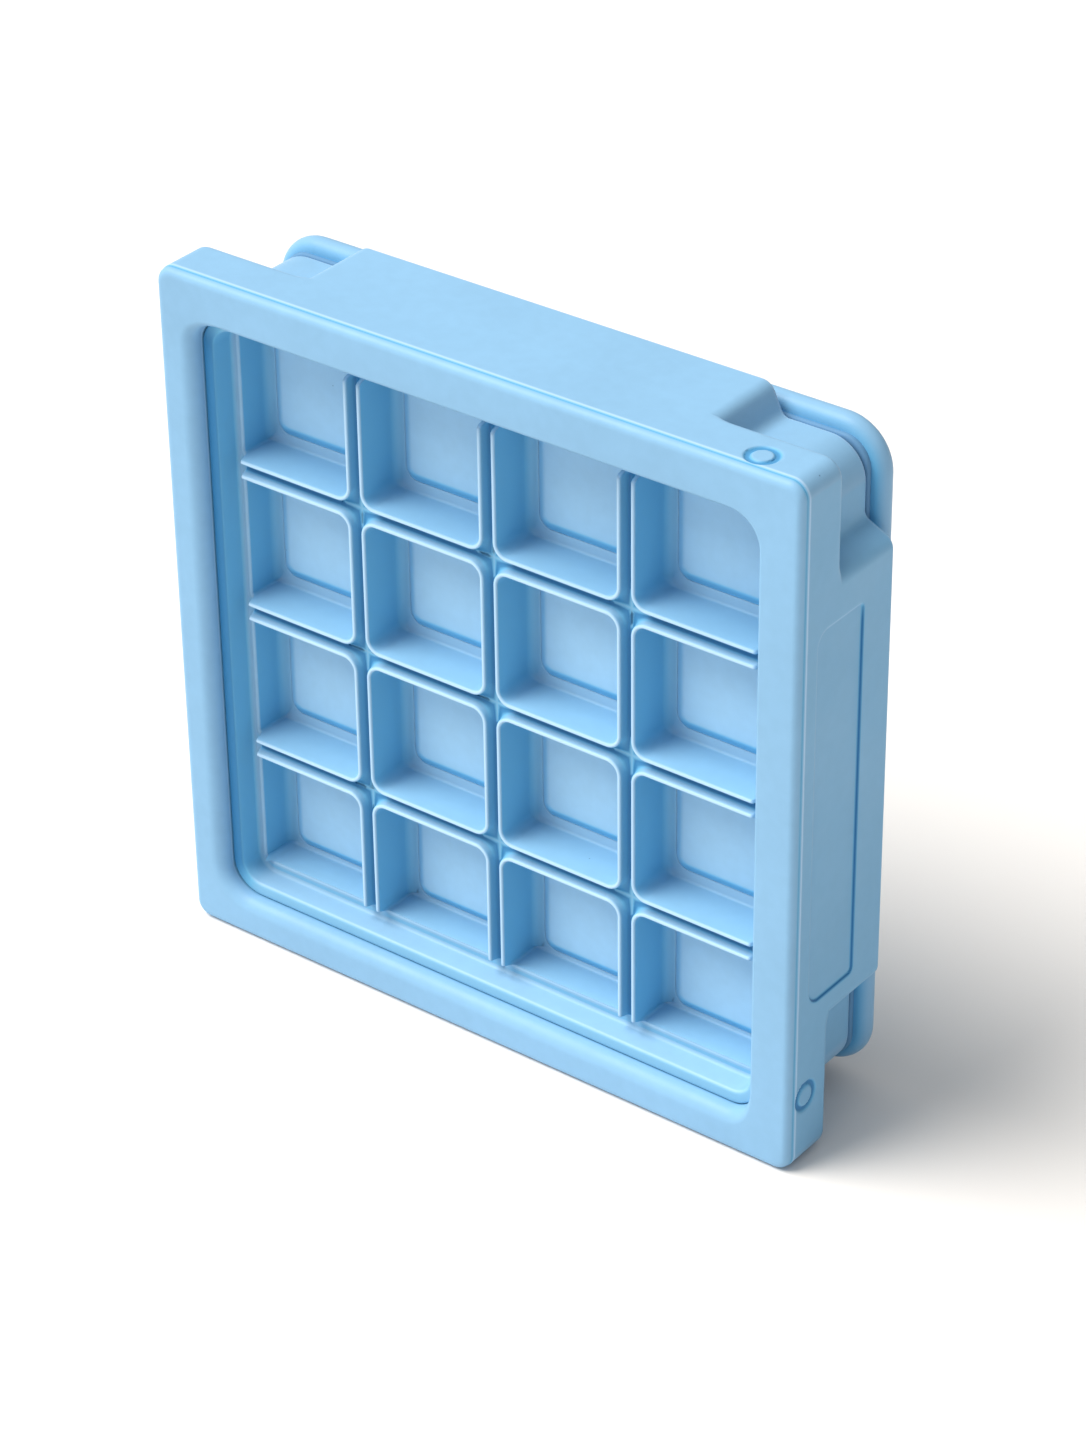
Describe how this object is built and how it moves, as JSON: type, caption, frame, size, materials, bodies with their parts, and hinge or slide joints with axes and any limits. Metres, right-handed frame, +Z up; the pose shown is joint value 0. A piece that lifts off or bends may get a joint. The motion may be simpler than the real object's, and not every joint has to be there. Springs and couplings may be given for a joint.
{
  "type": "cryogenic storage box",
  "caption": "Light blue plastic cryogenic storage box with a grid of square cells in a window frame, a lift-out cell tray and a pull-off rear cover.",
  "frame": {"origin": "centre of the bounding box in X and Y, at its lowest level, where the box stands", "axes": "+Z up, cells face -Y, +X to the viewer's right"},
  "size_m": [0.133, 0.032, 0.133],
  "materials": {
    "blue_plastic": "satin moulded",
    "tray_plastic": "satin moulded",
    "cover_plastic": "satin moulded",
    "pad_plastic": "soft matt",
    "seal_rubber": "matt silicone",
    "foam": "closed-cell foam"
  },
  "bodies": {
    "shell": {"shell": "blue_plastic"},
    "tray": {"cell_tray": "tray_plastic", "cell_pad_r1c1": "pad_plastic", "cell_pad_r1c2": "pad_plastic", "cell_pad_r1c3": "pad_plastic", "cell_pad_r1c4": "pad_plastic", "cell_pad_r2c1": "pad_plastic", "cell_pad_r2c2": "pad_plastic", "cell_pad_r2c3": "pad_plastic", "cell_pad_r2c4": "pad_plastic", "cell_pad_r3c1": "pad_plastic", "cell_pad_r3c2": "pad_plastic", "cell_pad_r3c3": "pad_plastic", "cell_pad_r3c4": "pad_plastic", "cell_pad_r4c1": "pad_plastic", "cell_pad_r4c2": "pad_plastic", "cell_pad_r4c3": "pad_plastic", "cell_pad_r4c4": "pad_plastic"},
    "cover": {"rear_cover": "cover_plastic", "cover_seal": "seal_rubber", "insulation_slab": "foam"}
  },
  "joints": [
    {"name": "tray_lift", "type": "slide", "parent": "shell", "child": "tray", "axis": [0, -1, 0], "range_m": [0, 0.02]},
    {"name": "cover_pull", "type": "slide", "parent": "shell", "child": "cover", "axis": [0, 1, 0], "range_m": [0, 0.02]}
  ]
}
